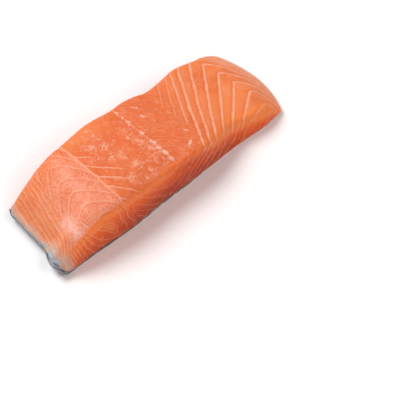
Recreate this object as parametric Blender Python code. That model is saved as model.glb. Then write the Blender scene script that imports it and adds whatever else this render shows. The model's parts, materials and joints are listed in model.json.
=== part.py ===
"""Raw salmon fillet portion, skin down: the flesh and the skin under it, two separate solids.

Metres, +Z up. +X runs from the dark back of the fish to the thin belly end, -Y is the near cut face.
"""

import math

import bmesh
import bpy
import numpy as np

MM = 0.001

# Plan, in millimetres. The sheet of skin and the flesh share it.
BACK_X = -77.6
BACK_SKEW = 0.4
BACK_ROUND = 1.6
BACK_ROUND_FROM = 18.5
BELLY_X = 79.2
BELLY_Y = -2.5
BELLY_CURVE = 3.9
BELLY_TRIM = 1.1
BELLY_TRIM_FROM = 9.0
NEAR_Y = -26.6
NEAR_STEP = 1.8
NEAR_STEP_FROM = -40.0
NEAR_STEP_TO = 45.0
NEAR_TUCK = 1.8
NEAR_TUCK_FROM = 66.0
NEAR_WAVE = 0.3
FAR_Y = 22.4
FAR_STEP = 4.5
FAR_STEP_FROM = 14.0
FAR_STEP_TO = 42.0
FAR_BULGE = 2.0
FAR_BULGE_X = -21.0
FAR_BULGE_HALF = 26.0
FAR_WAVE = 0.2
LOIN_BULGE = 2.6
LOIN_BULGE_X = 7.5
LOIN_BULGE_HALF = 19.0
BELLY_BULGE = 2.8
BELLY_BULGE_X = 47.0
BELLY_BULGE_HALF = 16.0
BELLY_RISE = 1.2

# Heights, in millimetres.
SHOULDER_T = 30.6
BELLY_T = 14.6
THIN_FROM = -25.0
THIN_TO = 78.0
BACK_RUN = 30.0
BACK_POWER = 1.55
BACK_EDGE = 0.9
BELLY_RUN = 19.0
BELLY_POWER = 2.0
TIP_T = 3.2
NEAR_DROP = 0.8
BACK_DROP = 4.4
BACK_DROP_X = -58.0
BACK_DROP_HALF = 34.0
WAIST_DROP = 5.6
WAIST_X = -16.0
WAIST_HALF = 30.0
BELLY_DROP = 2.4
BELLY_DROP_X = 42.0
BELLY_DROP_HALF = 15.0
FAR_DROP = 0.8
LONG_LUMP = 0.5
SHORT_LUMP = 0.35

# The edges between top and cut faces, and how far the faces lean in.
CREST_R = 1.5
SOFT_CREST_R = 5.2
SOFT_CREST_FROM = -4.0
SOFT_CREST_TO = -36.0
SOFT_CREST_LAST = -42.0
SOFT_CREST_END = -58.0
BELLY_CREST_R = 6.0
BELLY_CREST_FROM = 6.0
BELLY_CREST_TO = 44.0
FACE_LEAN = 0.5
BELLY_LEAN = 2.2
FACE_BULGE = 0.8

# The skin, how far it rides up round the back, and its loose corner.
SKIN_T = 1.1
GAP = 0.3
WRAP_H = 3.6
WRAP_RUN = 6.0
CORNER_H = 7.4
CORNER_Y = -19.7
CORNER_HALF = 9.5
CORNER_OUT = 4.1
SKIN_TUCK = 1.0
SKIN_TUCK_FROM = 4.0
SKIN_TUCK_TO = 20.0
SKIN_TUCK_RUN = 0.1

# How finely each surface is divided.
LENGTH_STEPS = 46
FLAT_STEPS = 8
CREST_STEPS = 4
WALL_STEPS = 4


def ease(value, start, end):
    t = min(max((value - start) / (end - start), 0.0), 1.0)
    return t * t * (3.0 - 2.0 * t)


def bell(value, centre, half):
    t = min(abs(value - centre) / half, 1.0)
    return 0.5 + 0.5 * math.cos(math.pi * t)


def near_y(x):
    wave = NEAR_WAVE * math.sin(x / 9.0 + 2.1)
    tuck = NEAR_TUCK * ease(x, NEAR_TUCK_FROM, BELLY_X)
    return NEAR_Y + NEAR_STEP * ease(x, NEAR_STEP_FROM, NEAR_STEP_TO) + tuck + wave


def far_y(x):
    wave = FAR_WAVE * math.sin(x / 6.0 + 1.0)
    bulge = FAR_BULGE * bell(x, FAR_BULGE_X, FAR_BULGE_HALF)
    bulge += LOIN_BULGE * bell(x, LOIN_BULGE_X, LOIN_BULGE_HALF)
    bulge += BELLY_BULGE * bell(x, BELLY_BULGE_X, BELLY_BULGE_HALF)
    return FAR_Y + FAR_STEP * ease(x, FAR_STEP_FROM, FAR_STEP_TO) + bulge + wave


def back_x(y):
    skew = BACK_SKEW * ease(-y, -FAR_Y, -CORNER_Y)
    rounding = BACK_ROUND * ease(y, BACK_ROUND_FROM, FAR_Y)
    return BACK_X - skew + rounding - CORNER_OUT * bell(y, CORNER_Y, CORNER_HALF)


def belly_x(y):
    trim = BELLY_TRIM * ease(-y, BELLY_TRIM_FROM, -NEAR_Y)
    return BELLY_X - BELLY_CURVE * ((y - BELLY_Y) / 22.0) ** 2 - trim


def wrap_height(y):
    return WRAP_H + (CORNER_H - WRAP_H) * bell(y, CORNER_Y, CORNER_HALF)


def plan(s, t):
    """The plan position of the point s along the length and t across the width."""
    x = BACK_X + s * (BELLY_X - BACK_X)
    half = 0.5 * (far_y(x) - near_y(x))
    y = near_y(x) + half * (t + 1.0)
    start = back_x(y)
    x = start + s * (belly_x(y) - start)
    return x, y


def top_height(x, y, t):
    """The height of the top over the table."""
    start = back_x(y)
    end = belly_x(y)
    full = SHOULDER_T + (BELLY_T - SHOULDER_T) * ease(x, THIN_FROM, THIN_TO)
    low = SKIN_T + GAP + wrap_height(y) + BACK_EDGE
    q = min(max((x - start) / BACK_RUN, 0.0), 1.0)
    height = low + (full - low) * (1.0 - (1.0 - q) ** BACK_POWER)
    q = min(max((end - x) / BELLY_RUN, 0.0), 1.0)
    height = TIP_T + (height - TIP_T) * (1.0 - (1.0 - q) ** BELLY_POWER)
    share = ease(x, start, start + BACK_RUN) * ease(end - x, 0.0, BELLY_RUN)
    near_drop = NEAR_DROP + WAIST_DROP * bell(x, WAIST_X, WAIST_HALF)
    near_drop += BACK_DROP * bell(x, BACK_DROP_X, BACK_DROP_HALF)
    near_drop += BELLY_DROP * bell(x, BELLY_DROP_X, BELLY_DROP_HALF)
    far_drop = FAR_DROP - BELLY_RISE * bell(x, BELLY_BULGE_X, BELLY_BULGE_HALF)
    drop = near_drop * max(-t, 0.0) ** 3 + far_drop * max(t, 0.0) ** 3
    lumps = LONG_LUMP * math.sin(x / 11.0 + 0.7) * math.cos(y / 10.0)
    lumps += SHORT_LUMP * math.sin((x + y) / 6.5)
    return height - share * drop + share * lumps


def floor_point(s, t):
    """The flesh's underside: flat, and curving up round the back."""
    x, y = plan(s, t)
    start = back_x(y)
    q = min(max((x - start) / WRAP_RUN, 0.0), 1.0)
    lift = wrap_height(y) * (1.0 - math.sqrt(max(1.0 - (1.0 - q) ** 2, 0.0)))
    return np.array([x, y, SKIN_T + GAP + lift])


def crest_radius(x):
    """The near crest is crisp at the back end and the middle, and rounded off elsewhere."""
    soft = ease(-x, -SOFT_CREST_FROM, -SOFT_CREST_TO) * ease(x, SOFT_CREST_END, SOFT_CREST_LAST)
    belly = ease(x, BELLY_CREST_FROM, BELLY_CREST_TO)
    return CREST_R + (SOFT_CREST_R - CREST_R) * soft + (BELLY_CREST_R - CREST_R) * belly


def rim_lean(x):
    return FACE_LEAN + BELLY_LEAN * bell(x, BELLY_DROP_X + 4.0, 22.0)


def length_stations():
    """Even along the middle and close together at both ends."""
    stations = []
    for v in np.linspace(0.0, 1.0, LENGTH_STEPS + 1):
        c = math.cos(math.pi * v)
        stations.append(0.5 - 0.5 * c * (0.72 + 0.28 * c * c))
    return stations


def top_row(s):
    """One row of the top, from the near cut face over both rounded edges to the far one."""
    row = []
    x_mid = plan(s, 0.0)[0]
    near = near_y(x_mid)
    far = far_y(x_mid)
    room = 0.45 * (top_height(*plan(s, 0.0), 0.0) - floor_point(s, 0.0)[2])
    radius = min(crest_radius(x_mid), room)
    lean = rim_lean(x_mid) * min(room / 5.0, 1.0)
    angles = [0.5 * math.pi * k / CREST_STEPS for k in range(CREST_STEPS)]
    inner_near = near + lean + radius
    inner_far = far - lean - min(CREST_R, room)
    ys = []
    for a in angles:
        ys.append((inner_near - radius * math.cos(a), radius * (1.0 - math.sin(a))))
    for k in range(FLAT_STEPS + 1):
        ys.append((inner_near + (inner_far - inner_near) * k / FLAT_STEPS, 0.0))
    for a in reversed(angles):
        r = min(CREST_R, room)
        ys.append((inner_far + r * math.cos(a), r * (1.0 - math.sin(a))))
    for y, down in ys:
        t = min(max(2.0 * (y - near) / (far - near) - 1.0, -1.0), 1.0)
        start = back_x(y)
        x = start + s * (belly_x(y) - start)
        row.append(np.array([x, y, top_height(x, y, t) - down]))
    return row


def across_share():
    """Where each column of the top stands across the width, from -1 to 1."""
    edge = [-1.0 + 0.06 * k / CREST_STEPS for k in range(CREST_STEPS)]
    middle = [-0.94 + 1.88 * k / FLAT_STEPS for k in range(FLAT_STEPS + 1)]
    return edge + middle + [-v for v in reversed(edge)]


def floor_grid():
    shares = across_share()
    return np.array([[floor_point(s, t) for t in shares] for s in length_stations()])


def skin_grid():
    """The floor grid with its near rim drawn in under the thin half of the flesh."""
    grid = floor_grid()
    for j, t in enumerate(across_share()):
        share = max(-t - 1.0 + SKIN_TUCK_RUN, 0.0) / SKIN_TUCK_RUN
        for row in grid:
            row[j][1] += SKIN_TUCK * share * ease(row[j][0], SKIN_TUCK_FROM, SKIN_TUCK_TO)
    return grid


def add_grid(bm, points):
    return [[bm.verts.new(p * MM) for p in row] for row in points]


def wall(bm, low, high, out):
    """Rings of points between a lower and an upper rim, pushed outward by a soft bulge."""
    rings = [low]
    for k in range(1, WALL_STEPS):
        v = k / WALL_STEPS
        ring = []
        for a, b, push in zip(low, high, out):
            point = np.array(a.co) * (1.0 - v) + np.array(b.co) * v
            share = math.sin(math.pi * v) * min((b.co.z - a.co.z) / (10.0 * MM), 1.0)
            ring.append(bm.verts.new(point + push * MM * share))
        rings.append(ring)
    rings.append(high)
    return rings


def rim(grid):
    """The outer loop of a grid of vertices, counter-clockwise from above."""
    loop = [row[0] for row in grid]
    loop += list(grid[-1][1:])
    loop += [row[-1] for row in reversed(grid[:-1])]
    loop += list(reversed(grid[0][1:-1]))
    return loop


def sheet(bm, grid, upward):
    for i in range(len(grid) - 1):
        for j in range(len(grid[0]) - 1):
            quad = [grid[i][j], grid[i + 1][j], grid[i + 1][j + 1], grid[i][j + 1]]
            if not upward:
                quad.reverse()
            bm.faces.new(quad)


def band(bm, low, high):
    count = len(low)
    for k in range(count):
        n = (k + 1) % count
        bm.faces.new([low[k], low[n], high[n], high[k]])


def finish(bm, name, base, roughness):
    bmesh.ops.recalc_face_normals(bm, faces=bm.faces[:])
    mesh = bpy.data.meshes.new(name)
    bm.to_mesh(mesh)
    bm.free()
    obj = bpy.data.objects.new(name, mesh)
    bpy.context.scene.collection.objects.link(obj)
    material = bpy.data.materials.new(name)
    material.use_nodes = True
    shader = material.node_tree.nodes["Principled BSDF"]
    shader.inputs["Base Color"].default_value = base
    shader.inputs["Roughness"].default_value = roughness
    mesh.materials.append(material)
    for polygon in mesh.polygons:
        polygon.use_smooth = True
    return obj


def build_flesh():
    bm = bmesh.new()
    top = add_grid(bm, [top_row(s) for s in length_stations()])
    bottom = add_grid(bm, floor_grid())
    sheet(bm, top, True)
    sheet(bm, bottom, False)
    low = rim(bottom)
    high = rim(top)
    out = []
    side = len(top)
    width = len(top[0])
    for k in range(len(low)):
        if k < side:
            out.append(np.array([0.0, -FACE_BULGE, 0.0]))
        elif k < side + width - 1:
            out.append(np.array([FACE_BULGE, 0.0, 0.0]))
        elif k < 2 * side + width - 2:
            out.append(np.array([0.0, FACE_BULGE, 0.0]))
        else:
            out.append(np.array([0.0, 0.0, 0.0]))
    rings = wall(bm, low, high, out)
    for a, b in zip(rings[:-1], rings[1:]):
        band(bm, a, b)
    return finish(bm, "flesh", (0.80, 0.27, 0.12, 1.0), 0.35)


def floor_normals(grid):
    """The direction out of the flesh's underside at each point of its grid."""
    along = np.gradient(grid, axis=0)
    across = np.gradient(grid, axis=1)
    normals = np.cross(across, along)
    normals[0, :, 2] = 0.0
    return normals / np.linalg.norm(normals, axis=2, keepdims=True)


def build_skin():
    grid = skin_grid()
    normals = floor_normals(grid)
    bm = bmesh.new()
    inner = add_grid(bm, grid + normals * GAP)
    outer = add_grid(bm, grid + normals * (GAP + SKIN_T))
    sheet(bm, inner, True)
    sheet(bm, outer, False)
    band(bm, rim(outer), rim(inner))
    return finish(bm, "skin", (0.20, 0.22, 0.25, 1.0), 0.4)


def centre(objects):
    """Puts the middle of the whole footprint, at table height, on the origin."""
    points = np.array([tuple(v.co) for obj in objects for v in obj.data.vertices])
    low = points.min(axis=0)
    high = points.max(axis=0)
    shift = (-(low[0] + high[0]) / 2, -(low[1] + high[1]) / 2, -low[2])
    for obj in objects:
        for vert in obj.data.vertices:
            vert.co.x += shift[0]
            vert.co.y += shift[1]
            vert.co.z += shift[2]


for old in list(bpy.data.objects):
    bpy.data.objects.remove(old, do_unlink=True)
centre([build_flesh(), build_skin()])
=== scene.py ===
"""Raw salmon fillet portion: the looks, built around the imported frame."""

import json
import math

import bpy
import numpy as np
from bpy.props import FloatProperty, FloatVectorProperty, IntProperty, PointerProperty
from mathutils import Matrix, Vector, kdtree, noise

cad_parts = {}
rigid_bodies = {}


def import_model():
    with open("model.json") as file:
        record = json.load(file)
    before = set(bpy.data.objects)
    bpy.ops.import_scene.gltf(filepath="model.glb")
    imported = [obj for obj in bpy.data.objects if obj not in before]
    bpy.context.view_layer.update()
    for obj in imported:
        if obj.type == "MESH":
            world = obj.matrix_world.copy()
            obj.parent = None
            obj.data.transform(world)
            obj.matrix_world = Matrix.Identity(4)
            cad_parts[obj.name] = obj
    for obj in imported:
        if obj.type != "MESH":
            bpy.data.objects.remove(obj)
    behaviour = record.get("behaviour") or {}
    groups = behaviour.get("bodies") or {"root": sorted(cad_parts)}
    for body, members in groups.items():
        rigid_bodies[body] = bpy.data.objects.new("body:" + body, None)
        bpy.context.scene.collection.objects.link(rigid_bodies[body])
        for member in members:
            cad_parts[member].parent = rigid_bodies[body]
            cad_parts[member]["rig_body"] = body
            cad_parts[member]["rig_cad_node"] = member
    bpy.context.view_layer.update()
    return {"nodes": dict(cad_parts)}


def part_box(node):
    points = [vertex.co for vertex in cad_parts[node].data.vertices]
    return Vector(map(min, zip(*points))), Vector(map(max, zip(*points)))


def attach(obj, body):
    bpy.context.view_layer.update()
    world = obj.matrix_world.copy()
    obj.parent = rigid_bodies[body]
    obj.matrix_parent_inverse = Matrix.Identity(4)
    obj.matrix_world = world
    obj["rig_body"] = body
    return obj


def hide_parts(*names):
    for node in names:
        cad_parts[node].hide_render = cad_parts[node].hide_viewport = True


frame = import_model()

bl_info = {
    "name": "Raw Salmon Fillet",
    "version": (1, 0, 0),
    "blender": (4, 5, 0),
    "location": "View3D > Sidebar > Fillet",
    "description": "Finishes the flesh and the skin of a raw salmon portion",
    "category": "Object",
}

MM = 0.001

# Plan of the portion in millimetres, as it was cut.
BACK_X = -77.6
BACK_SKEW = 0.4
BACK_ROUND = 1.6
BACK_ROUND_FROM = 18.5
BELLY_X = 79.2
BELLY_Y = -2.5
BELLY_CURVE = 3.9
BELLY_TRIM = 1.1
BELLY_TRIM_FROM = 9.0
NEAR_Y = -26.6
NEAR_STEP = 1.8
NEAR_STEP_SPAN = (-40.0, 45.0)
NEAR_TUCK = 1.8
NEAR_TUCK_FROM = 66.0
FAR_Y = 22.4
FAR_STEP = 4.5
FAR_STEP_SPAN = (14.0, 42.0)
FAR_BULGE = 2.0
FAR_BULGE_AT = (-21.0, 26.0)
LOIN_BULGE = 2.6
LOIN_BULGE_AT = (7.5, 19.0)
BELLY_BULGE = 2.8
BELLY_BULGE_AT = (47.0, 16.0)
WRAP_H = 3.6
WRAP_RUN = 6.0
CORNER_H = 7.4
CORNER_AT = (-19.7, 9.5)
CORNER_OUT = 4.1
SKIN_TUCK = 1.0
SKIN_TUCK_SPAN = (4.0, 20.0)
BACK_EDGE = 0.9
SHEET_T = 1.4

# Where the fat runs, in millimetres from a point of its own in the plan.
FAT_ORIGIN = np.array([-1.91, 0.79, 0.0])
EYE = (-47.0, -27.0, 15.5)
EYE_TILT = math.radians(-52.0)
SWIRL_X = -5.0
PEAK_X = 63.0
PEAK_SLANT = -0.24
CREASE_Y = -23.0
CUT_INSET = 2.3

# Patches of loose fat with painted glints of wet spots: x, y, half width, and how far it is drawn out
# along the grain.
BLOOM_SPOTS = (
    (-23.1, 15.1, 1.7, 1.0),
    (-28.0, 9.3, 3.0, 1.2),
    (-22.3, 5.1, 3.4, 1.2),
    (-24.0, -2.4, 2.2, 1.1),
    (-20.0, -4.6, 2.6, 1.2),
    (-17.2, -13.2, 3.2, 1.4),
    (-22.8, -17.6, 2.0, 1.5),
    (-16.5, -22.4, 2.0, 1.0),
    (-11.9, -21.6, 2.6, 1.3),
    (-5.5, -3.5, 1.7, 2.6),
    (-3.2, -10.5, 2.2, 2.0),
    (-7.0, -15.0, 2.4, 1.5),
)
DASHES = (
    (5.9, 16.6, 0.7, 4.4),
    (6.1, 8.3, 0.7, 3.4),
    (14.9, -19.0, 2.4, 0.4),
    (18.8, -11.7, 0.6, 2.4),
    (21.2, -21.6, 0.8, 1.4),
)

# Knots of fat on the middle wall: y and half width.
KNOTS = (
    (18.9, 1.0),
    (14.1, 0.9),
    (10.0, 1.1),
    (0.5, 1.3),
    (-7.7, 1.6),
    (-12.0, 1.3),
    (-16.7, 1.7),
    (-20.9, 1.3),
)


# ---------- small maths


def ease(value, start, end):
    t = np.clip((value - start) / (end - start), 0.0, 1.0)
    return t * t * (3.0 - 2.0 * t)


def bell(value, centre, half):
    t = np.minimum(np.abs(value - centre) / half, 1.0)
    return 0.5 + 0.5 * np.cos(np.pi * t)


def within(value, start, end, soft):
    return ease(value, start - soft, start + soft) * (1.0 - ease(value, end - soft, end + soft))


def lumps(points, size, seed):
    """Soft noise from -1 to 1 at each point, in lumps of the given size in millimetres."""
    shift = Vector((seed * 13.7, seed * 7.9, seed * 3.1))
    return np.array([noise.noise(Vector(p) / size + shift) for p in points])


# ---------- the plan


def near_edge(x):
    wave = 0.3 * np.sin(x / 9.0 + 2.1)
    tuck = NEAR_TUCK * ease(x, NEAR_TUCK_FROM, BELLY_X)
    return NEAR_Y + NEAR_STEP * ease(x, *NEAR_STEP_SPAN) + tuck + wave


def far_edge(x):
    bulge = FAR_BULGE * bell(x, *FAR_BULGE_AT) + LOIN_BULGE * bell(x, *LOIN_BULGE_AT)
    bulge = bulge + BELLY_BULGE * bell(x, *BELLY_BULGE_AT)
    return FAR_Y + FAR_STEP * ease(x, *FAR_STEP_SPAN) + bulge + 0.2 * np.sin(x / 6.0 + 1.0)


def back_end(y):
    skew = BACK_SKEW * ease(-y, -FAR_Y, -CORNER_AT[0])
    rounding = BACK_ROUND * ease(y, BACK_ROUND_FROM, FAR_Y)
    return BACK_X - skew + rounding - CORNER_OUT * bell(y, *CORNER_AT)


def belly_end(y):
    trim = BELLY_TRIM * ease(-y, BELLY_TRIM_FROM, -NEAR_Y)
    return BELLY_X - BELLY_CURVE * ((y - BELLY_Y) / 22.0) ** 2 - trim


def wrap_height(y):
    return WRAP_H + (CORNER_H - WRAP_H) * bell(y, *CORNER_AT)


def floor_point(s, t):
    """The flesh's underside: flat on the skin and curving up round the back."""
    x = BACK_X + s * (BELLY_X - BACK_X)
    y = near_edge(x) + 0.5 * (far_edge(x) - near_edge(x)) * (t + 1.0)
    start = back_end(y)
    x = start + s * (belly_end(y) - start)
    q = np.clip((x - start) / WRAP_RUN, 0.0, 1.0)
    lift = wrap_height(y) * (1.0 - np.sqrt(np.maximum(1.0 - (1.0 - q) ** 2, 0.0)))
    return np.stack([x, y, SHEET_T + lift], axis=-1)


def plan_shift():
    """From the plan's own origin to the frame's, in millimetres."""
    low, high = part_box("skin")
    x = np.linspace(BACK_X, BELLY_X, 400)
    return np.array([high[0] / MM - BELLY_X, low[1] / MM - near_edge(x).min(), 0.0])


# ---------- fat lines


def belly_foot(k):
    """Where the fat line k of the belly meets the near edge."""
    return 10.0 + 3.4 * k + 0.0225 * k**3 - 8.0 * np.maximum(0.0, 1.0 - k / 3.0) ** 1.4


def belly_line_x(k, y):
    """The fat line k of the belly at y, from its foot up to its chevron's peak."""
    peak_y = 70.0 - 10.0 * k
    peak_x = PEAK_X + PEAK_SLANT * peak_y + 6.5 * np.maximum(0.0, 2.0 - k)
    t = (y - CREASE_Y) / (peak_y - CREASE_Y)
    bow = 0.065 * (k - 6.0) + 0.26 * ease(-k, -3.0, -2.0)
    t = t + bow * t * np.clip(1.0 - t, 0.0, 1.0)
    return belly_foot(k) + (peak_x - belly_foot(k)) * t


def belly_phase(x, y):
    """Counts the belly's fat lines: a whole number on each line."""
    steps = np.linspace(-3.0, 9.2, 123)
    y_left = np.maximum(y, CREASE_Y)
    lines = belly_line_x(steps[None, :], y_left[:, None])
    lines = np.maximum.accumulate(lines, axis=1)
    index = np.clip((lines < x[:, None]).sum(axis=1), 1, len(steps) - 1)
    rows = np.arange(len(x))
    low = lines[rows, index - 1]
    high = lines[rows, index]
    share = np.clip((x - low) / np.maximum(high - low, 1e-3), -6.0, 6.0)
    left = steps[index - 1] + share * (steps[1] - steps[0])
    end = belly_end(y + FAT_ORIGIN[1]) - FAT_ORIGIN[0]
    peak = PEAK_X + PEAK_SLANT * y
    q = np.clip((x - peak) / np.maximum(end - peak, 4.0), 0.0, 1.1) ** 1.6
    right = 7.0 - 0.1 * (y + 27.0 * q) / (1.0 - 0.7 * q)
    return np.where(x < peak, left, right)


def cut_face_foot(x, depth):
    """Follows a line of the cut face up to the crest: the muscle folds round a swirl in the middle."""
    away = x - SWIRL_X
    fold = np.sqrt(away**2 + 25.0) - 5.0
    return -1.5 + np.where(away > 0.0, 1.0, 0.83) * fold + 0.03 * np.maximum(away, 0.0) + 0.885 * depth


def arch_phase(x, y, z):
    """Counts the shells of the back muscle round its eye, drawn out into tall arches on the top."""
    dy = np.maximum(y - EYE[1], 0.0)
    dx = x - (EYE[0] - 5.0 * ease(dy, 0.0, 10.0))
    dx = dx - 0.58 * np.maximum(EYE[2] - z, 0.0) * ease(dx, 0.0, 5.0) * (1.0 - ease(dy, 1.0, 5.0))
    right = 0.85 + 0.022 * np.abs(dy - 8.0)
    left = 1.05 + 0.04 * np.maximum(dy - 9.0, 0.0)
    dx = dx * np.where(dx > 0.0, right, left)
    r = np.sqrt(dx**2 + (1.18 * dy**0.8) ** 2 + (0.65 * (z - EYE[2])) ** 2 + 1e-6)
    return (r - 8.0) / 4.15


def eye_ring(x, z):
    """How far a point of the near face is from the lens-shaped ring of the eye, in millimetres."""
    dx = x - EYE[0]
    dz = z - EYE[2]
    along = dx * math.cos(EYE_TILT) + dz * math.sin(EYE_TILT)
    across = -dx * math.sin(EYE_TILT) + dz * math.cos(EYE_TILT)
    across = across + 0.035 * along**2 - 0.6
    return (np.sqrt((along / 8.2) ** 2 + (across / 2.5) ** 2) - 1.0) * 3.0


def corner_phase(x, z):
    """Counts the lines of the near face that run down and round under the eye."""
    across = x + 70.2 - 0.25 * (16.0 - z)
    spread = 0.03 - 0.0034 * np.clip(z - 16.0, 0.0, 8.0) + 0.0005 * np.maximum(16.0 - z, 0.0) ** 2
    phase = np.clip(across / 3.0, -3.0, 7.0)
    for _ in range(8):
        phase = phase - (2.05 * phase + spread * phase**3 - across) / (2.05 + 3.0 * spread * phase**2)
    return phase


def back_phase(x, y):
    """Counts the close lines of the thin back, which crowd and hook round at its near corner."""
    hook = 0.023 * np.maximum(-12.0 - y, 0.0) ** 2
    return (x - 0.19 * y + hook + 61.8) / 2.1


def back_wall(y):
    return -38.3 - 0.085 * y


def middle_phase(x, y):
    return (9.8 - (y + 0.95 * (x + 38.0))) / 7.75


def middle_wall(y):
    return -1.6 - 0.11 * y


# ---------- mesh helpers


def pick(piece):
    """Selects this piece alone and makes it active."""
    bpy.ops.object.select_all(action="DESELECT")
    piece.select_set(True)
    bpy.context.view_layer.objects.active = piece


def in_edit(piece, *steps):
    pick(piece)
    bpy.ops.object.mode_set(mode="EDIT")
    for step in steps:
        step()
    bpy.ops.object.mode_set(mode="OBJECT")


def apply_modifier(piece, name, kind, **values):
    pick(piece)
    modifier = piece.modifiers.new(name, kind)
    for key, value in values.items():
        setattr(modifier, key, value)
    bpy.ops.object.modifier_apply(modifier=modifier.name)


def vectors_of(piece, key):
    out = np.empty(len(piece.data.vertices) * 3, np.float64)
    piece.data.vertices.foreach_get(key, out)
    return out.reshape(-1, 3)


def points_mm(piece):
    return vectors_of(piece, "co") / MM


def set_points_mm(piece, points):
    piece.data.vertices.foreach_set("co", (points * MM).ravel())
    piece.data.update()


def store(piece, name, values):
    layer = piece.data.attributes.new(name, "FLOAT", "POINT")
    layer.data.foreach_set("value", np.asarray(values, np.float32))


def line_gap(piece, phase):
    """The spacing in millimetres, along the surface, of the lines that a phase counts."""
    mesh = piece.data
    ends = np.empty(len(mesh.edges) * 2, np.int64)
    mesh.edges.foreach_get("vertices", ends)
    a, b = ends.reshape(-1, 2).T
    points = points_mm(piece)
    length = np.linalg.norm(points[a] - points[b], axis=1)
    rise = ((phase[a] - phase[b]) / np.maximum(length, 1e-4)) ** 2
    total = np.bincount(a, rise, len(points)) + np.bincount(b, rise, len(points))
    count = np.bincount(a, minlength=len(points)) + np.bincount(b, minlength=len(points))
    slope = np.sqrt(2.0 * total / np.maximum(count, 1))
    return np.clip(1.0 / np.maximum(slope, 1e-3), 0.6, 20.0)


def stroke(phase, gap, width):
    """One on a line and nothing away from it."""
    away = np.abs((phase + 0.5) % 1.0 - 0.5) * gap
    return 1.0 - ease(away, 0.25 * width, 0.9 * width)


def spots(x, y, places):
    """Soft patches drawn out along the grain: x, y, half width and stretch of each."""
    out = np.zeros(len(x))
    for px, py, half, stretch in places:
        along = (x - px - y + py) * math.sqrt(0.5)
        across = (x - px + y - py) * math.sqrt(0.5)
        out = np.maximum(out, np.exp(-((along / (half * stretch)) ** 2 + (across / half) ** 2)))
    return out


# ---------- node helpers

# The sockets of a Mix node that carry colours.
MIX_FIRST = 6
MIX_SECOND = 7
MIX_COLOUR = 2


class Tree:
    """Adds nodes to a node tree and joins them up."""

    def __init__(self, tree):
        self.tree = tree

    def node(self, kind, values=None, **settings):
        made = self.tree.nodes.new(kind)
        for key, value in settings.items():
            setattr(made, key, value)
        self.feed_all(made, values or {})
        return made

    def feed_all(self, node, values):
        for key, value in values.items():
            self.feed(node.inputs[key], value)

    def feed(self, socket, value):
        if isinstance(value, bpy.types.NodeSocket):
            self.tree.links.new(value, socket)
        else:
            socket.default_value = value

    def math(self, operation, *values, clamp=False):
        made = self.node("ShaderNodeMath", dict(enumerate(values)), operation=operation, use_clamp=clamp)
        return made.outputs[0]

    def times(self, first, second, clamp=False):
        return self.math("MULTIPLY", first, second, clamp=clamp)

    def times_plus(self, value, factor, added):
        return self.math("MULTIPLY_ADD", value, factor, added)

    def ramp(self, value, low, high, to_low=0.0, to_high=1.0):
        values = {"Value": value, "From Min": low, "From Max": high, "To Min": to_low, "To Max": to_high}
        made = self.node("ShaderNodeMapRange", values, interpolation_type="SMOOTHSTEP")
        return made.outputs["Result"]

    def noise(self, vector, scale, detail=2.0, roughness=0.5, distortion=0.0):
        values = {"Vector": vector, "Scale": scale, "Detail": detail}
        values.update({"Roughness": roughness, "Distortion": distortion})
        return self.node("ShaderNodeTexNoise", values).outputs[0]

    def field(self, name):
        return self.node("ShaderNodeAttribute", attribute_name=name).outputs["Fac"]

    def mix(self, share, first, second):
        values = {0: share, MIX_FIRST: first, MIX_SECOND: second}
        return self.node("ShaderNodeMix", values, data_type="RGBA").outputs[MIX_COLOUR]

    def paint(self, colour, layers):
        for share, tone in layers:
            colour = self.mix(share, colour, tone)
        return colour

    def stretched(self, vector, scale):
        return self.node("ShaderNodeMapping", {"Vector": vector, "Scale": scale}).outputs[0]

    def bump(self, height, distance):
        values = {"Height": height, "Strength": 0.5, "Distance": distance}
        return self.node("ShaderNodeBump", values).outputs[0]

    def group(self, tree, values):
        return self.node("ShaderNodeGroup", values, node_tree=tree).outputs


def new_group(name, inputs, outputs):
    """An empty shader group with its sockets: name to default value, or to None for a vector."""
    tree = bpy.data.node_groups.new(name, "ShaderNodeTree")
    for key, value in inputs.items():
        kind = "NodeSocketVector" if value is None else "NodeSocketFloat"
        socket = tree.interface.new_socket(name=key, in_out="INPUT", socket_type=kind)
        if value is not None:
            socket.default_value = value
    for key in outputs:
        tree.interface.new_socket(name=key, in_out="OUTPUT", socket_type="NodeSocketFloat")
    build = Tree(tree)
    source = build.node("NodeGroupInput")
    target = build.node("NodeGroupOutput")
    return build, source.outputs, target.inputs


def fat_line_group():
    """Turns a phase into soft, uneven lines of a real width, each with painted shade along one side."""
    inputs = {"Place": None, "Phase": 0.0, "Gap": 4.0, "Width": 0.8, "Wander": 0.3, "Strength": 1.0}
    build, given, out = new_group("Fat line", inputs, ["Mask", "Shade"])
    place = given["Place"]
    drift = build.times_plus(build.noise(place, 170.0, 3.0, 0.55), 2.0, -1.0)
    fine = build.times_plus(build.noise(place, 700.0, 2.0, 0.6), 0.9, -0.45)
    drift = build.math("ADD", drift, fine)
    wander = build.math("DIVIDE", given["Wander"], given["Gap"])
    phase = build.times_plus(drift, wander, given["Phase"])
    folded = build.math("SUBTRACT", build.math("FRACT", build.math("ADD", phase, 0.5)), 0.5)
    side = build.times(folded, given["Gap"])
    away = build.math("ABSOLUTE", side)
    uneven = build.ramp(build.noise(place, 260.0, 2.0, 0.6), 0.3, 0.7, 0.62, 1.3)
    width = build.times(given["Width"], uneven)
    line = build.ramp(away, build.times(width, 0.15), width, 1.0, 0.0)
    broken = build.ramp(build.noise(place, 420.0, 2.0, 0.5), 0.28, 0.55, 0.6, 1.0)
    mask = build.times(line, given["Strength"])
    build.feed(out["Mask"], build.times(mask, broken, clamp=True))
    # Painted shade along one side of the line.
    inner = build.ramp(build.times(side, -1.0), build.times(width, 0.3), width)
    outer = build.ramp(away, width, build.math("ADD", width, 1.5), 1.0, 0.0)
    build.feed(out["Shade"], build.times(build.times(inner, outer), given["Strength"]))
    return build.tree


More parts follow.
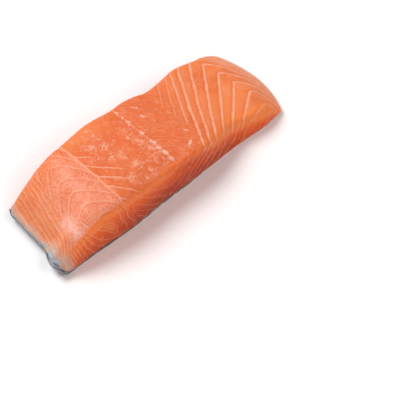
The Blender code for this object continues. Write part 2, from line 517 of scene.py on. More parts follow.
def wall_group():
    """A thin sheet of fat between two muscles: a pale line with painted shade along its sides, where the
    furrows lie.
    """
    inputs = {"Place": None, "Side": 3.0, "Width": 0.6, "Strength": 1.0, "Painted side shade": 0.0}
    build, given, out = new_group("Fat wall", inputs, ["Mask", "Shade"])
    place = given["Place"]
    drift = build.times_plus(build.noise(place, 200.0, 3.0, 0.6), 2.4, -1.2)
    side = build.math("ADD", given["Side"], drift)
    away = build.math("ABSOLUTE", side)
    uneven = build.ramp(build.noise(place, 330.0, 2.0, 0.6), 0.3, 0.7, 0.55, 1.45)
    width = build.times(given["Width"], uneven)
    line = build.ramp(away, build.times(width, 0.15), width, 1.0, 0.0)
    build.feed(out["Mask"], build.times(line, given["Strength"]))
    # Painted shade along the sides of the wall.
    start = build.times(width, 0.4)
    left = build.ramp(build.times(side, -1.0), start, build.times(width, 1.3))
    right = build.times(build.ramp(side, start, width), given["Painted side shade"])
    near = build.ramp(away, width, build.math("ADD", width, 1.7), 1.0, 0.0)
    shade = build.times(build.math("MAXIMUM", left, right), near)
    build.feed(out["Shade"], build.times(shade, given["Strength"]))
    return build.tree


def fat_and_glint_web_group():
    """A torn film of fat with painted glints of wet spots: fine crooked threads and specks that gather
    where the density is high.
    """
    inputs = {"Place": None, "Density": 0.5}
    build, given, out = new_group("Fat and glint web", inputs, ["Mask", "Pits"])
    place = given["Place"]
    crooked = build.noise(place, 250.0, 3.0, 0.65, 1.3)
    away = build.math("ABSOLUTE", build.math("SUBTRACT", crooked, 0.5))
    threads = build.ramp(away, 0.008, 0.04, 1.0, 0.0)
    specks = build.ramp(build.noise(place, 620.0, 2.0, 0.6, 0.5), 0.56, 0.66)
    patches = build.noise(place, 300.0, 2.0, 0.6, 0.3)
    gathered = build.ramp(build.times_plus(given["Density"], 0.5, patches), 0.57, 0.82)
    film = build.times(build.math("MAXIMUM", threads, specks), gathered)
    lumpy = build.noise(place, 430.0, 3.0, 0.7, 0.6)
    blots = build.ramp(build.times_plus(given["Density"], 0.42, lumpy), 0.8, 0.98)
    build.feed(out["Mask"], build.math("MAXIMUM", film, blots, clamp=True))
    pits = build.ramp(build.noise(place, 700.0, 2.0, 0.6, 0.4), 0.34, 0.46, 1.0, 0.0)
    build.feed(out["Pits"], build.times(pits, given["Density"], clamp=True))
    return build.tree


def new_material(name):
    material = bpy.data.materials.new(name)
    material.use_nodes = True
    build = Tree(material.node_tree)
    shader = material.node_tree.nodes["Principled BSDF"]
    place = build.node("ShaderNodeTexCoord").outputs["Object"]
    return material, build, shader, place


# ---------- finishes

# Each family of fat lines and how far its lines wander, in millimetres.
FAMILIES = dict(belly=0.5, cut=0.9, arch=0.6, corner=0.6, middle=0.9, back=0.8, thread=1.2)

# Each wall of fat: its width in millimetres and how dark the painted shade in the furrow on its belly
# side is.
WALLS = {"back_wall": (0.55, 0.0), "middle_wall": (0.6, 1.0), "eye_wall": (0.5, 0.0)}


def flesh_tones(build, place, settings):
    """The flesh between the lines: its zones, its mottling and its wet grain, with painted shade on the
    back end and towards the skin, and painted light along the crest.
    """
    coarse = build.noise(place, 70.0, 3.0, 0.6)
    medium = build.noise(place, 210.0, 3.0, 0.6)
    grain = build.noise(place, 1300.0, 2.0, 0.6)
    grainy = build.field("grainy")
    layers = (
        (build.field("tone_deep"), settings.redder_and_side_shade),
        (build.field("tone_pink"), settings.pink),
        (build.field("tone_warm"), settings.warm),
        # painted shade: the back end darker towards its rim
        (build.field("painted_shade_slope"), settings.slope),
        (build.ramp(coarse, 0.42, 0.68, 0.0, 0.5), settings.redder_and_side_shade),
        (build.ramp(medium, 0.5, 0.72, 0.0, 0.22), settings.pink),
        (build.field("tone_cut"), settings.cut),
        # darker towards the skin: partly deeper flesh, partly painted shade
        (build.field("darker_to_skin_and_shade"), settings.cut_darker_and_shade),
        (build.ramp(medium, 0.46, 0.68, 0.0, 0.1), settings.fat_shade),
        # painted light along the rounded crest
        (build.field("painted_crest_light"), settings.painted_crest_light_tone),
        (build.times(build.ramp(grain, 0.54, 0.7, 0.0, 0.6), grainy), settings.fat),
        (build.times(build.ramp(grain, 0.34, 0.5, 0.9, 0.0), grainy), settings.redder_and_side_shade),
    )
    return build.paint(settings.orange, layers), medium, grain


def all_fat_lines(build, place):
    """The lines of every family and the walls of fat in one mask, and the painted shade along the sides
    of all of them.
    """
    lines = 0.0
    painted_shades = 0.0
    line = fat_line_group()
    wall = wall_group()
    drawn = []
    for name, wander in FAMILIES.items():
        values = {"Place": place, "Wander": wander}
        for key in ("Phase", "Gap", "Width", "Strength"):
            values[key] = build.field(f"{name}_{key.lower()}")
        drawn.append(build.group(line, values))
    for name, (width, furrow) in WALLS.items():
        values = {"Place": place, "Width": width, "Painted side shade": furrow}
        values.update({"Side": build.field(name), "Strength": build.field(f"{name}_strength")})
        drawn.append(build.group(wall, values))
    for out in drawn:
        lines = build.math("MAXIMUM", lines, out["Mask"])
        painted_shades = build.math("MAXIMUM", painted_shades, out["Shade"])
    return lines, painted_shades


def flesh_material(settings):
    material, build, shader, place = new_material("salmon flesh")
    colour, medium, grain = flesh_tones(build, place, settings)
    turn = {"Vector": place, "Rotation": (0.0, 0.0, math.radians(45.0))}
    grain_way = build.node("ShaderNodeMapping", turn).outputs[0]
    fibre = build.noise(build.stretched(grain_way, (0.25, 1.0, 0.7)), 900.0, 3.0, 0.65)
    threads = build.times(build.ramp(fibre, 0.5, 0.7), build.field("fibrous"))
    colour = build.mix(threads, colour, settings.fat)
    patchy = build.math("SUBTRACT", medium, 0.5)
    rim = build.times_plus(patchy, 0.5, build.field("rim_fat"))
    rim_colour = build.mix(build.ramp(rim, 0.55, 1.05), settings.rim, settings.rim_grey)
    colour = build.mix(build.ramp(rim, 0.0, 0.95), colour, rim_colour)

    lines, painted_shades = all_fat_lines(build, place)
    speck = build.times_plus(build.noise(place, 560.0, 3.0, 0.75, 0.5), 1.5, -0.25)
    knots = build.ramp(build.times_plus(build.field("knots"), 0.5, speck), 0.71, 0.95)
    # Loose fat, with painted glints of wet spots, and dark pits.
    web = build.group(fat_and_glint_web_group(), {"Place": place, "Density": build.field("loose_fat_and_glints")})
    loose = build.math("MAXIMUM", knots, build.times(web["Mask"], 0.9))
    # Painted shade: the dark sides of the lines give way to loose fat and knots; the dark pits of the fat
    # web are painted shade too.
    painted_shades = build.times(painted_shades, build.math("SUBTRACT", 1.0, loose, clamp=True))
    painted_shades = build.math("MAXIMUM", painted_shades, build.times(web["Pits"], 0.7))
    lines = build.math("MINIMUM", build.math("MAXIMUM", lines, loose), 1.0)

    # The colour of the painted shade: the redder flesh on the top, the darker cut colour on the cut
    # faces.
    on_cut = build.field("tone_cut")
    painted_shade_colour = build.mix(on_cut, settings.redder_and_side_shade, settings.cut_darker_and_shade)
    fat_colour = build.mix(build.ramp(medium, 0.35, 0.65), settings.fat, settings.fat_shade)
    fat_colour = build.mix(build.times(on_cut, 0.75), fat_colour, settings.cut_fat)
    # Painted highlight: a pale, grainy wet gloss near the back corner.
    coarse_grain = build.noise(place, 560.0, 3.0, 0.7)
    painted_highlight = build.times(build.field("painted_highlight"), build.ramp(coarse_grain, 0.36, 0.6, 0.25, 1.0))
    streaks = build.noise(place, 330.0, 3.0, 0.7)
    membrane = build.mix(build.ramp(streaks, 0.36, 0.66), settings.membrane, settings.membrane_pale)
    rim_skin = build.times_plus(patchy, 0.5, build.field("rim_skin"))
    layers = (
        # painted shade along one side of each line
        (build.times(painted_shades, settings.furrow), painted_shade_colour),
        (build.times(lines, 0.85), fat_colour),
        (build.times(knots, 0.6), settings.knot),
        (build.times(build.field("eye_fill"), 0.35), settings.cut_fat),
        # painted highlight near the back corner
        (build.times(painted_highlight, 0.85), settings.painted_highlight),
        (build.ramp(rim_skin, 0.1, 0.75), membrane),
    )
    colour = build.paint(colour, layers)

    gloss = build.ramp(medium, 0.3, 0.7, 0.28, 0.42)
    height = build.times_plus(fibre, 0.4, build.times(grain, 0.5))
    for part, weight in ((medium, 0.8), (lines, 0.5), (painted_shades, -0.3)):
        height = build.times_plus(part, weight, height)
    values = {
        "Base Color": colour,
        "Roughness": build.times_plus(lines, 0.08, gloss),
        "IOR": 1.38,
        "Specular IOR Level": 0.18,
        "Subsurface Weight": settings.glow,
        "Subsurface Radius": (1.0, 0.32, 0.12),
        "Subsurface Scale": 0.0018,
        "Coat Weight": 0.06,
        "Coat Roughness": 0.16,
        "Normal": build.bump(height, 0.0004),
    }
    build.feed_all(shader, values)
    return material


def skin_material(settings):
    material, build, shader, place = new_material("salmon skin")
    cells = {"Vector": build.stretched(place, (1.0, 1.35, 1.0)), "Scale": 470.0, "Randomness": 0.5}
    scales = build.node("ShaderNodeTexVoronoi", cells, feature="F1")
    edges = build.node("ShaderNodeTexVoronoi", cells, feature="DISTANCE_TO_EDGE")
    tint = build.node("ShaderNodeSeparateColor", {"Color": scales.outputs["Color"]})
    blotch = build.noise(place, 90.0, 4.0, 0.6)
    streaks = build.noise(build.stretched(place, (0.35, 1.0, 1.0)), 420.0, 3.0, 0.65)

    back = build.ramp(build.times_plus(blotch, 0.5, build.field("back_share")), 0.5, 0.95)
    silver = build.mix(tint.outputs[0], settings.silver, settings.silver_shade)
    slate = build.mix(build.ramp(tint.outputs[1], 0.1, 0.9), settings.slate, settings.slate_dark)
    slate = build.mix(build.ramp(streaks, 0.6, 0.78), slate, settings.silver_shade)
    ink = build.times(build.ramp(streaks, 0.32, 0.42, 1.0, 0.0), build.times_plus(back, 0.75, 0.1))
    joint = build.ramp(edges.outputs["Distance"], 0.02, 0.16, 1.0, 0.0)
    at_lobe = build.field("lobe")
    near_rim = build.field("near_rim")
    edge = build.mix(build.field("edge_dark"), settings.near_fat, settings.edge)
    under = build.mix(near_rim, build.mix(at_lobe, settings.under_fat, settings.lobe), edge)
    layers = (
        (back, slate),
        (ink, settings.ink),
        (build.times(joint, 0.45), settings.slate_dark),
        (build.times(at_lobe, build.ramp(blotch, 0.3, 0.55, 0.35, 0.9)), settings.lobe),
        (build.field("rim_dark"), build.mix(at_lobe, settings.ink, settings.slate_dark)),
        (near_rim, edge),
        (build.ramp(build.field("inward"), 0.5, 0.8), under),
    )
    height = build.math("ADD", build.ramp(edges.outputs["Distance"], 0.0, 0.25), streaks)
    values = {
        "Base Color": build.paint(silver, layers),
        "Roughness": build.ramp(tint.outputs[2], 0.0, 1.0, 0.24, 0.48),
        "Specular IOR Level": 0.6,
        "Coat Weight": 0.3,
        "Coat Roughness": 0.2,
        "Normal": build.bump(height, 0.0003),
    }
    build.feed_all(shader, values)
    return material


def floor_material(settings):
    material, build, shader, place = new_material("pale table")
    tone = build.noise(place, 3.0, 2.0, 0.5)
    low = (*(c * 0.985 for c in settings.floor[:3]), 1.0)
    colour = build.mix(tone, low, settings.floor)
    build.feed_all(shader, {"Base Color": colour, "Roughness": 0.85, "Specular IOR Level": 0.1})
    return material


# ---------- settings


def a_number(name, description, default, **limits):
    return FloatProperty(name=name, description=description, default=default, **limits)


def a_count(name, description, default, least):
    return IntProperty(name=name, description=description, default=default, min=least)


def a_length(name, description, default):
    return a_number(name, description, default, unit="LENGTH", precision=5)


def a_colour(name, description, default):
    limits = {"subtype": "COLOR", "size": 4, "min": 0.0, "max": 1.0}
    return FloatVectorProperty(name=name, description=description, default=(*default, 1.0), **limits)


class FleshSettings(bpy.types.PropertyGroup):
    """Sizes and colours of the flesh."""

    voxel: a_length("Grid", "Spacing of the finished mesh", 0.00056)
    smoothing: a_count("Smoothing", "Rounds of smoothing over the grid", 5, 0)
    relief: a_length("Relief", "How far the fat lines stand up", 0.00012)
    # Painted shade: how dark the shade painted beside each line is.
    furrow: a_number("Painted side shade", "How dark each line's side is", 0.42)
    glow: a_number("Glow", "How much light goes through the flesh", 0.2)
    orange: a_colour("Orange", "The flesh between the lines", (0.84, 0.232, 0.083))
    # Also the colour of the painted shade beside the lines on the top.
    redder_and_side_shade: a_colour("Deep", "The redder flesh in the middle", (0.73, 0.141, 0.042))
    pink: a_colour("Pink", "The paler flesh at the back", (0.86, 0.32, 0.197))
    warm: a_colour("Warm", "The lighter flesh at the belly", (0.86, 0.245, 0.08))
    # Painted shade: the back end is darker towards its rim.
    slope: a_colour("Back end shade", "The flesh where the back comes down to the skin", (0.74, 0.222, 0.068))
    cut: a_colour("Cut", "The flesh of the cut faces", (0.88, 0.118, 0.006))
    # Darker towards the skin: partly deeper flesh, partly painted shade; also the painted shade beside
    # the lines of the cut faces.
    cut_darker_and_shade: a_colour("Cut darker and shade", "The deeper flesh of the cut faces near the skin", (0.44, 0.028, 0.002))
    # Painted light: a brighter orange along the rounded crest, where the surface turns away from the
    # lights.
    painted_crest_light_tone: a_colour("Glow", "The bright flesh along the rounded crest", (1.0, 0.262, 0.058))
    fat: a_colour("Fat", "The fat lines", (0.93, 0.5, 0.37))
    fat_shade: a_colour("Fat shade", "The thinner parts of the fat lines", (0.91, 0.42, 0.25))
    knot: a_colour("Knot", "The thick knots of fat", (0.94, 0.6, 0.46))
    cut_fat: a_colour("Cut fat", "The fat lines of the cut faces", (0.98, 0.34, 0.13))
    rim: a_colour("Back fat", "The fat over the skin at the back", (0.78, 0.3, 0.17))
    rim_grey: a_colour("Back fat grey", "The greyer part of that fat", (0.6, 0.4, 0.32))
    # Painted highlight: the pale, grainy wet gloss near the back corner.
    painted_highlight: a_colour("Painted wet highlight", "The pale patch near the back corner", (0.92, 0.56, 0.47))
    membrane: a_colour("Membrane", "The inner side of the loose skin", (0.3, 0.32, 0.35))
    membrane_pale: a_colour("Membrane streaks", "Its paler streaks", (0.48, 0.5, 0.53))


class SkinSettings(bpy.types.PropertyGroup):
    """Sizes and colours of the skin."""

    steps_along: a_count("Steps along", "Divisions from back to belly", 230, 20)
    steps_across: a_count("Steps across", "Divisions from near to far", 80, 10)
    thickness: a_length("Thickness", "How thick the skin is, with its fat", 0.00145)
    silver: a_colour("Silver", "The scales of the belly", (0.74, 0.76, 0.76))
    silver_shade: a_colour("Silver shade", "The darker scales of the belly", (0.46, 0.5, 0.53))
    slate: a_colour("Slate", "The scales of the back", (0.145, 0.16, 0.185))
    slate_dark: a_colour("Dark slate", "The darker scales of the back", (0.045, 0.05, 0.06))
    lobe: a_colour("Loose corner", "The blue-grey of the loose corner", (0.34, 0.37, 0.42))
    ink: a_colour("Ink", "The specks on the back", (0.012, 0.013, 0.016))
    edge: a_colour("Cut edge", "The skin's cut edge under the near face", (0.085, 0.04, 0.028))
    near_fat: a_colour("Edge fat", "The thin red fat over that edge", (0.62, 0.11, 0.045))
    under_fat: a_colour("Under fat", "The thin fat between skin and flesh", (0.42, 0.3, 0.24))


class StageSettings(bpy.types.PropertyGroup):
    """The camera, the lights and the table."""

    aim: FloatVectorProperty(
        name="Aim",
        description="The point on the table that the camera looks at",
        default=(0.00606, -0.03804, 0.0),
        subtype="TRANSLATION",
        unit="LENGTH",
    )
    azimuth: a_number("Azimuth", "Turn of the camera round the fillet, in degrees", -41.2)
    elevation: a_number("Elevation", "Angle of the camera above the table, in degrees", 57.0)
    distance: a_number("Distance", "From the camera to its aim", 1.0, unit="LENGTH")
    lens: a_number("Lens", "Focal length in millimetres", 170.1)
    daylight: a_number("Daylight", "Strength of the light from all round", 0.172)
    floor: a_colour("Table", "The pale table", (0.955, 0.965, 0.975))


# ---------- the flesh


def copy_node(node, name):
    """A loose copy of a frame node under a name of its own, with no material."""
    piece = frame["nodes"][node].copy()
    piece.data = piece.data.copy()
    piece.name = name
    piece.data.name = name
    piece.parent = None
    piece.matrix_world = Matrix.Identity(4)
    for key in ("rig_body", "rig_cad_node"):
        if key in piece:
            del piece[key]
    bpy.context.scene.collection.objects.link(piece)
    piece.data.materials.clear()
    return piece


def quads_with_firm_rim(piece):
    """Merges the corners, joins the triangles into quads and creases the sharp edges."""
    mesh = bpy.ops.mesh
    in_edit(
        piece,
        lambda: mesh.select_all(action="SELECT"),
        lambda: mesh.remove_doubles(threshold=1e-5),
        lambda: mesh.normals_make_consistent(inside=False),
        lambda: mesh.tris_convert_to_quads(),
        lambda: mesh.select_mode(type="EDGE"),
        lambda: mesh.select_all(action="DESELECT"),
        lambda: mesh.edges_select_sharp(sharpness=math.radians(48.0)),
        lambda: bpy.ops.transform.edge_crease(value=0.9),
        lambda: mesh.select_mode(type="VERT"),
    )


def depth_below_top(points, normals):
    """How far each point lies under the nearest part of the top."""
    top = np.flatnonzero(normals[:, 2] > 0.62)
    tree = kdtree.KDTree(len(top))
    for k in top:
        tree.insert((points[k, 0], points[k, 1], 0.0), int(k))
    tree.balance()
    depth = np.zeros(len(points))
    for i in np.flatnonzero(normals[:, 2] <= 0.62):
        found = tree.find((points[i, 0], points[i, 1], 0.0))[1]
        depth[i] = max(points[found, 2] - points[i, 2], 0.0)
    return depth


def zones_of(points, normals, depth):
    """How much each point belongs to each zone of the portion."""
    x, y = points.T[:2]
    inset = y + FAT_ORIGIN[1] - near_edge(x + FAT_ORIGIN[0])
    soft = 0.5 + 2.4 * bell(x, -12.0, 36.0)
    facing = ease(-normals[:, 1], 0.1, 0.4)
    cut = (1.0 - ease(inset, CUT_INSET - soft, CUT_INSET + soft)) * facing
    gradual = ease(depth, 0.3, 6.5) * facing
    cut = cut + (gradual - cut) * ease(x, 10.0, 30.0)
    side = np.maximum(ease(depth, 0.5, 3.0), cut)
    u = x - 0.19 * y
    face = np.maximum(cut, 0.9 * ease(depth, 0.0, 1.5) * ease(-normals[:, 1], 0.3, 0.7))
    far = ease(depth, 0.0, 1.5) * ease(normals[:, 1], 0.3, 0.7)
    wall = back_wall(y) + 0.28 * cut * depth
    back = (1.0 - ease(u, -62.5, -60.5)) * (1.0 - cut)
    arch = (1.0 - back) * ease(wall - x, -0.5, 0.5)
    return {"cut": cut, "face": face, "far": far, "side": side, "back": back, "arch": arch}


def line_fields(points, depth, zones):
    """Each family of fat lines: its phase, its strength and the width of its lines."""
    x, y, z = points.T
    wobble = 0.5 * lumps(points, 9.0, 1)
    ragged = lumps(points, 3.2, 2)
    x = x + wobble
    y = y + wobble
    cut = zones["cut"]
    top = 1.0 - zones["side"]
    far = zones["far"]
    belly = belly_phase(x + 0.7 * far * depth, y)
    arm = ease(x - (PEAK_X + PEAK_SLANT * y), -0.5, 2.0)
    reach = np.where(belly < 2.6, ease(y - (6.0 - 8.0 * belly), -1.0, 4.0), 1.0)
    bold = ease(belly, 0.2, 3.0)
    fields = {}
    over = 1.0 - zones["side"] * (0.85 - 0.45 * ease(x, 12.0, 28.0)) * (1.0 - 0.6 * far)
    last = 1.0 - 0.5 * ease(belly, 8.4, 8.8)
    fields["belly"] = (
        belly,
        ease(belly, -0.6, -0.4) * reach * (0.45 + 0.5 * bold) * (1.0 - 0.85 * cut) * over * last,
        (0.5 + 0.65 * ease(belly, 0.8, 3.2)) * (1.0 - 0.3 * arm),
    )
    folded = far * ease(depth, 1.0, 5.0) * (1.0 - ease(x, 6.0, 18.0))
    plain = 0.32 + 0.2 * ease(x, 5.0, 25.0) + 0.14 * ragged
    fields["cut"] = (
        belly_phase(cut_face_foot(x, depth), np.full(len(x), CREASE_Y)),
        np.maximum(zones["face"], folded) * ease(x, -34.0, -26.0) * plain,
        0.75 + 0.15 * ease(x, 0.0, 30.0),
    )
    arch = arch_phase(x, y, z)
    corner = corner_phase(x, z)
    below = cut * (1.0 - ease(corner, 5.2, 5.5)) * (1.0 - ease(x, -44.0, -38.0))
    fields["corner"] = (corner, below * (0.5 + 0.2 * ragged), 0.6)
    inner = (1.0 - ease(x, -33.0, -27.0)) * ease(x, -49.0, -47.0) * within(arch, -0.2, 2.3, 0.1)
    beyond = np.maximum(zones["arch"] * (1.0 - cut), cut * inner)
    beyond = beyond * ease(arch, -0.75, -0.25) * (0.72 - 0.2 * cut)
    fields["arch"] = (arch, beyond, 0.6)
    middle = middle_phase(x, y)
    end = -31.0 + 8.5 * np.clip(middle, 0.0, 1.0) + 8.0 * ease(middle, 2.4, 3.0)
    inside = (1.0 - zones["arch"]) * (1.0 - zones["back"]) * ease(x, -46.0, -42.0)
    inside = inside * (1.0 - ease(x, end - 4.0, end + 2.0)) * within(middle, -0.4, 4.4, 0.2)
    fields["middle"] = (middle, inside * (1.0 - cut) * 0.9, 0.68)
    close = back_phase(x, y)
    every = 0.7 + 0.3 * np.cos(close * 1.9 + 0.8) ** 2
    fields["back"] = (
        close + 0.25 * lumps(points, 7.0, 8),
        zones["back"] * every * (0.54 + 0.3 * ragged) * (1.0 - 0.8 * painted_highlight_patch(x, y)),
        0.45 + 0.22 * every,
    )
    beside = within(x - middle_wall(y), 1.5, 15.0, 1.5) * (0.6 + 0.4 * ragged)
    fields["thread"] = ((y + 0.8 * x) / 3.1 + 0.4 * ragged, beside * top * 0.3, 0.45)
    return fields


def painted_highlight_patch(x, y):
    """A painted highlight: the pale, coarse-grained wet gloss where the back turns down to its near
    corner.
    """
    across = x + 63.8 - 0.05 * (y + 18.0) - 0.03 * np.maximum(-20.0 - y, 0.0) ** 2
    return np.exp(-((across / 3.1) ** 2)) * within(y, -24.5, -10.0, 2.5)


def mark_lines(piece, places, depth, zones):
    """Stores the fields of every family of lines, and returns how far lines stand up, from 0 to 1."""
    raised = np.zeros(len(places))
    for name, (phase, strength, width) in line_fields(places, depth, zones).items():
        gap = line_gap(piece, phase)
        strength = strength * ease(gap, 0.8, 2.0)
        width = width + np.zeros(len(places))
        for key, values in (("phase", phase), ("gap", gap), ("strength", strength), ("width", width)):
            store(piece, f"{name}_{key}", values)
        raised = np.maximum(raised, stroke(phase, gap, width) * strength)
    return raised


def mark_walls(piece, points, places, zones, first, second):
    """Stores the walls of fat, the eye, the knots and the loose fat with its painted glints, and returns
    the knots.
    """
    x, y, z = places.T
    cut = zones["cut"]
    top = 1.0 - zones["side"]
    uneven = 0.75 + 0.3 * lumps(points, 4.0, 11)
    store(piece, "back_wall", first)
    store(piece, "back_wall_strength", (1.0 - 0.75 * zones["side"]) * uneven)
    store(piece, "middle_wall", second)
    store(piece, "middle_wall_strength", top * (0.5 + 0.3 * lumps(points, 3.5, 13)))
    ring = eye_ring(x, z)
    store(piece, "eye_wall", ring)
    store(piece, "eye_wall_strength", 0.55 * cut)
    store(piece, "eye_fill", cut * (1.0 - ease(ring, -1.8, 0.3)))
    knots = spots(x, y, DASHES)
    for py, half in KNOTS:
        knots = np.maximum(knots, np.exp(-((second / half) ** 2 + ((y - py) / (1.35 * half)) ** 2)))
    store(piece, "knots", knots * top)
    beside = within(second, -9.0, 0.5, 1.5) * ease(-y, -14.0, -8.0)
    film = within(first, 6.0, 31.0, 3.0) * (1.0 - ease(second, -1.0, 1.5))
    film = film * (0.22 + 0.3 * lumps(points, 6.0, 12))
    film = film * (1.0 - bell(np.hypot(x + 12.0, y - 9.0), 0.0, 11.0))
    # Loose fat, with painted glints of wet spots in its patches.
    loose_fat_and_glints = np.maximum(np.maximum(film, 0.4 * beside), spots(x, y, BLOOM_SPOTS))
    store(piece, "loose_fat_and_glints", np.clip(loose_fat_and_glints, 0.0, 1.0) * top)
    fibrous = ease(second, 1.0, 3.0) * (1.0 - ease(x, 14.0, 26.0)) * top
    store(piece, "fibrous", 0.1 + 0.16 * fibrous)
    return knots


def mark_tones(piece, points, places, normals, depth, zones, first):
    """Stores how much of each tone the flesh has at each point, painted light and shade among them."""
    x, y, z = places.T
    cut = zones["cut"]
    arch = zones["arch"]
    middle = ease(first, 0.0, 2.0) * (1.0 - ease(x, 14.0, 36.0))
    # Painted shade: the back end darker towards its rim.
    store(piece, "painted_shade_slope", zones["back"] * 0.85 * ease(-x, 63.0, 73.0))
    store(piece, "tone_deep", 0.62 * middle + 0.12 * lumps(points, 14.0, 4))
    outside = ease(arch_phase(x, y, z), -0.25, 0.25)
    pink = np.maximum(arch * np.maximum(outside, 0.6), 0.55 * zones["back"])
    pink = pink * (1.0 - 0.7 * ease(y, 3.0, 16.0))
    store(piece, "tone_pink", 0.85 * pink * (1.0 - cut))
    edge = ease(y, 8.0, 20.0) * ease(-x, -10.0, 20.0)
    store(piece, "tone_warm", np.maximum(ease(x, 30.0, 52.0), 0.8 * edge) * (1.0 - 0.7 * cut))
    store(piece, "tone_cut", 0.9 * np.maximum(cut * ease(depth, 0.0, 3.0), zones["side"] * 0.7))
    # Painted light along the rounded crest, where the surface turns from the top to the near face; over
    # the top of the eye's arch the same orange stands for the flesh's own brighter colour.
    facing = ease(-normals[:, 1], 0.1, 0.4)
    turning = ease(x, 8.0, 24.0) * ease(-normals[:, 1], 0.12, 0.45)
    glow = np.maximum(np.maximum(cut, 0.7 * ease(depth, 0.1, 1.5)) * facing, turning)
    glow = glow * (1.0 - ease(depth, 1.5, 6.5)) * (1.0 - 0.6 * bell(x, 8.0, 30.0))
    near_top = arch * (1.0 - outside) * (1.0 - cut)
    store(piece, "painted_crest_light", 0.9 * np.maximum(glow, 0.4 * near_top))
    # The cut faces and sides darker towards the skin and round the swirl: partly deeper flesh, partly
    # painted shade.
    start = 3.0 - 1.6 * bell(x, 16.0, 38.0)
    low = np.maximum(cut, zones["side"]) * ease(depth, start, start + 0.6 * (depth + z))
    low = low * (0.5 + 0.45 * ease(x, -52.0, -22.0) - 0.6 * ease(x, 30.0, 60.0))
    swirl = 0.6 * zones["face"] * bell(x, 14.0, 32.0) * ease(depth, 0.8, 3.5)
    store(piece, "darker_to_skin_and_shade", np.maximum(low, swirl))
    grainy = np.maximum(0.9 * arch * outside, 0.22 * middle)
    store(piece, "grainy", np.maximum(grainy, 0.45 * zones["back"]) * (1.0 - 0.8 * cut))
    # Painted highlight near the back corner.
    store(piece, "painted_highlight", painted_highlight_patch(x, y) * (1.0 - cut))


def mark_flesh(piece, relief):
    """Stores where each line and each tone of the flesh lies, and sculpts the low relief."""
    points = points_mm(piece)
    normals = vectors_of(piece, "normal")
    depth = depth_below_top(points, normals)
    places = points - plan_shift() - FAT_ORIGIN
    x, y, z = places.T
    zones = zones_of(places, normals, depth)
    top = 1.0 - zones["side"]
    drag = zones["cut"] * depth
    first = x - back_wall(y) - 0.28 * drag
    second = x - middle_wall(y) + 0.15 * drag
    raised = mark_lines(piece, places, depth, zones)
    knots = mark_walls(piece, points, places, zones, first, second)
    mark_tones(piece, points, places, normals, depth, zones, first)

    plan_y = y + FAT_ORIGIN[1]
    corner = bell(plan_y, -20.0, 16.0)
    from_edge = np.maximum(x + FAT_ORIGIN[0] - back_end(plan_y), 0.0)
    over_edge = z - SHEET_T - wrap_height(plan_y) - BACK_EDGE
    reach = 7.5 + 4.0 * corner
    away = np.hypot(from_edge, (1.0 - corner) * np.maximum(over_edge, 0.0))
    store(piece, "rim_fat", 1.0 - ease(away, 0.25 * corner * reach, reach))
    lobe = ease(bell(plan_y, -18.5, 8.0), 0.0, 0.6) * (1.0 - ease(from_edge, 1.2, 3.6))
    beside = 0.8 * bell(plan_y, -8.0, 4.0) * (1.0 - ease(from_edge, 0.2, 1.6))
    store(piece, "rim_skin", np.maximum(lobe, beside))

    furrow = 0.32 * np.exp(-(((first + 1.1) / 1.2) ** 2)) - 0.16 * np.exp(-(((first - 0.4) / 0.8) ** 2))
    furrow += 0.22 * np.exp(-(((second + 1.4) / 1.2) ** 2)) + 0.2 * np.exp(-(((second - 1.4) / 1.2) ** 2))
    push = (relief * raised - furrow * top) + 0.12 * knots * top
    push += 0.25 * lumps(points, 8.0, 5) + 0.09 * lumps(points, 2.4, 6)
    free = ease(z, 1.8, 5.0)
    points = points + normals * (push * free)[:, None]
    points[:, 0] -= 0.4 * (1.0 - ease(from_edge, 0.3, 2.0)) * (1.0 - ease(over_edge, 0.5, 3.0))
    near_foot = 1.0 - ease(plan_y - near_edge(x + FAT_ORIGIN[0]), 0.5, 2.5)
    points[:, 2] -= (0.45 + 0.4 * near_foot) * np.clip((3.2 - points[:, 2]) / 1.8, 0.0, 1.0)
    set_points_mm(piece, points)


class FILLET_OT_flesh(bpy.types.Operator):
    """Make the flesh from the frame's block, with its lines of fat"""

    bl_idname = "fillet.flesh"
    bl_label = "Flesh"

    def execute(self, context):
        settings = context.scene.fillet_flesh
        piece = copy_node("flesh", "salmon_flesh")
        quads_with_firm_rim(piece)
        apply_modifier(piece, "Rounding", "SUBSURF", levels=2, render_levels=2)
        apply_modifier(piece, "Grid", "REMESH", mode="VOXEL", voxel_size=settings.voxel)
        apply_modifier(piece, "Smoothing", "SMOOTH", factor=0.5, iterations=settings.smoothing)
        mark_flesh(piece, settings.relief / MM)
        pick(piece)
        bpy.ops.object.shade_smooth()
        piece.data.materials.append(flesh_material(settings))
        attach(piece, "root")
        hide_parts("flesh")
        return {"FINISHED"}


# ---------- the skin


def skin_grid(settings):
    """A sheet of squares, closer together at the back, laid where the skin's outer face goes."""
    squares = {"x_subdivisions": settings.steps_along, "y_subdivisions": settings.steps_across}
    bpy.ops.mesh.primitive_grid_add(size=2.0, location=(0.0, 0.0, 0.0), **squares)
    piece = bpy.context.active_object
    piece.name = "salmon_skin"
    piece.data.name = "salmon_skin"
    flat = points_mm(piece) * MM
    even = 0.5 + 0.5 * flat[:, 0]
    s = 0.25 * even + 0.75 * even * even
    t = flat[:, 1]
    step = 1e-3
    centre = floor_point(s, t)
    along = floor_point(np.minimum(s + step, 1.0), t) - floor_point(np.maximum(s - step, 0.0), t)
    across = floor_point(s, np.minimum(t + step, 1.0)) - floor_point(s, np.maximum(t - step, -1.0))
    normal = np.cross(across, along)
    normal[s < 1e-6, 2] = 0.0
    normal /= np.linalg.norm(normal, axis=1)[:, None]
    outer = centre + normal * SHEET_T
    share = np.maximum(-t - 0.9, 0.0) / 0.1
    outer[:, 1] += share * (0.35 + SKIN_TUCK * ease(outer[:, 0], *SKIN_TUCK_SPAN))
    set_points_mm(piece, outer + plan_shift())
    return piece


